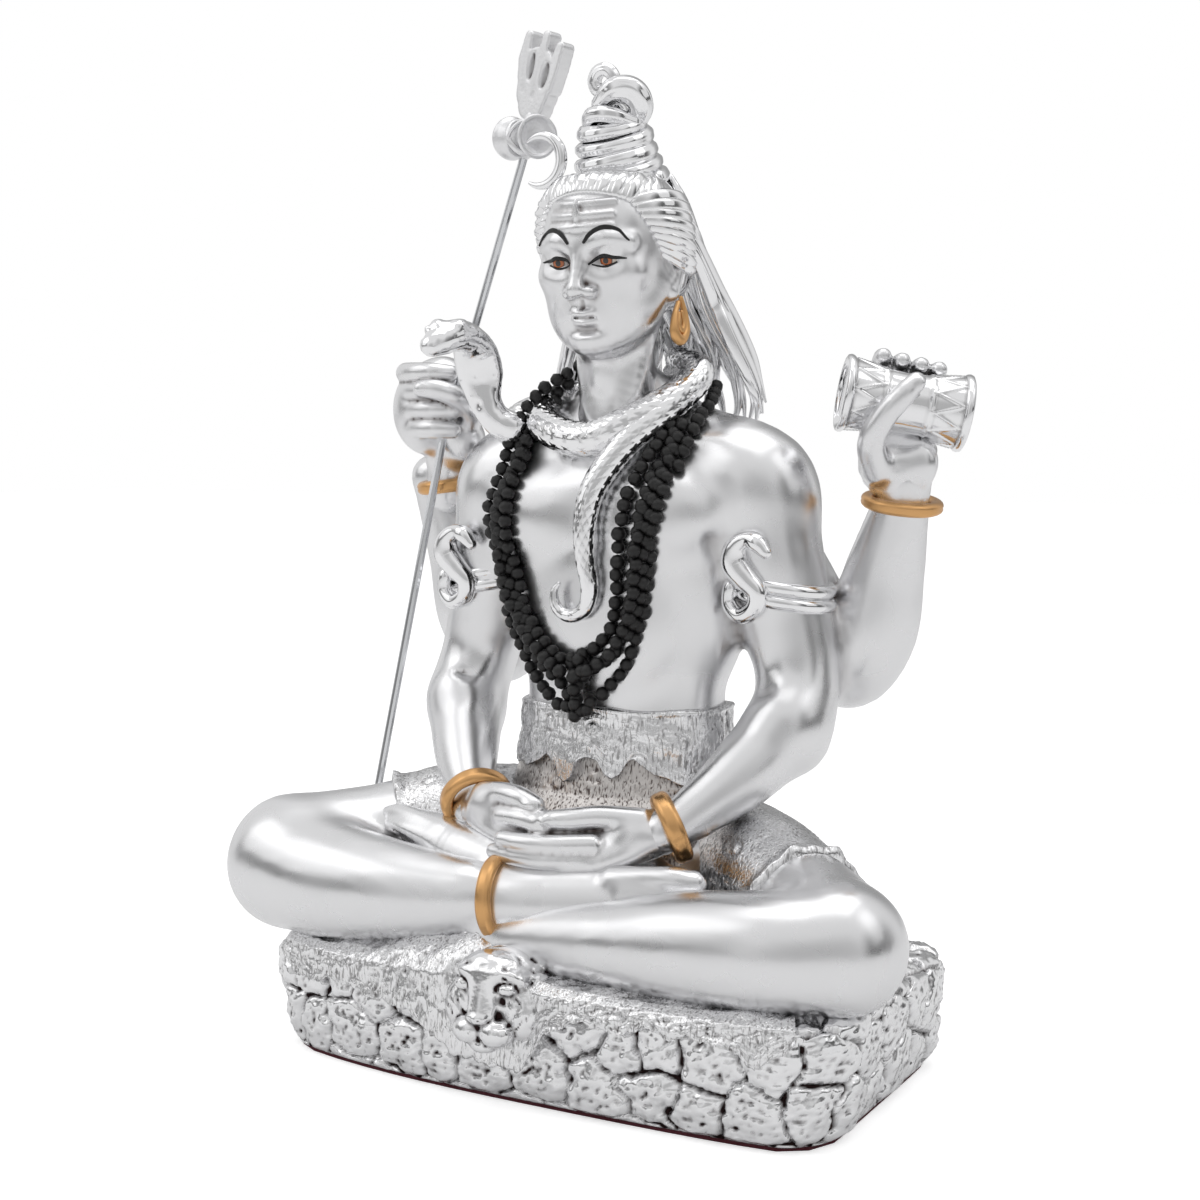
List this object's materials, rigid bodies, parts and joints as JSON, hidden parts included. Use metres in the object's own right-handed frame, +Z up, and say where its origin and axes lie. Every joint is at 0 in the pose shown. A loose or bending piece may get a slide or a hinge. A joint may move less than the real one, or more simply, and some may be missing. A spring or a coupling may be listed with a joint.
{
  "type": "seated shiva figurine",
  "caption": "Cross-legged four-armed meditating deity on a rock base, holding a tall trident and a hand drum; stands by its own weight.",
  "frame": {"origin": "middle of the felt pad's underside, on the ground", "axes": "+Z up, the figure faces -Y, +X is the figure's own left"},
  "size_m": [0.2399, 0.128, 0.3386],
  "materials": {
    "satin_silver": "satin silver plate on a resin casting",
    "bright_silver": "polished silver plate",
    "antique_silver": "polished silver plate with dark antiquing in the recesses",
    "frosted_silver": "grained frosted silver plate",
    "steel": "polished steel rod",
    "gold_paint": "satin gold paint",
    "black_paint": "matte black paint",
    "eye_paint": "hand-painted eyes, white with orange-brown irises and black lids",
    "felt": "dark maroon felt"
  },
  "bodies": {
    "root": {"figure": "satin_silver", "trident_rod": "steel", "trident_head": "frosted_silver", "base_pad": "felt"}
  },
  "joints": []
}
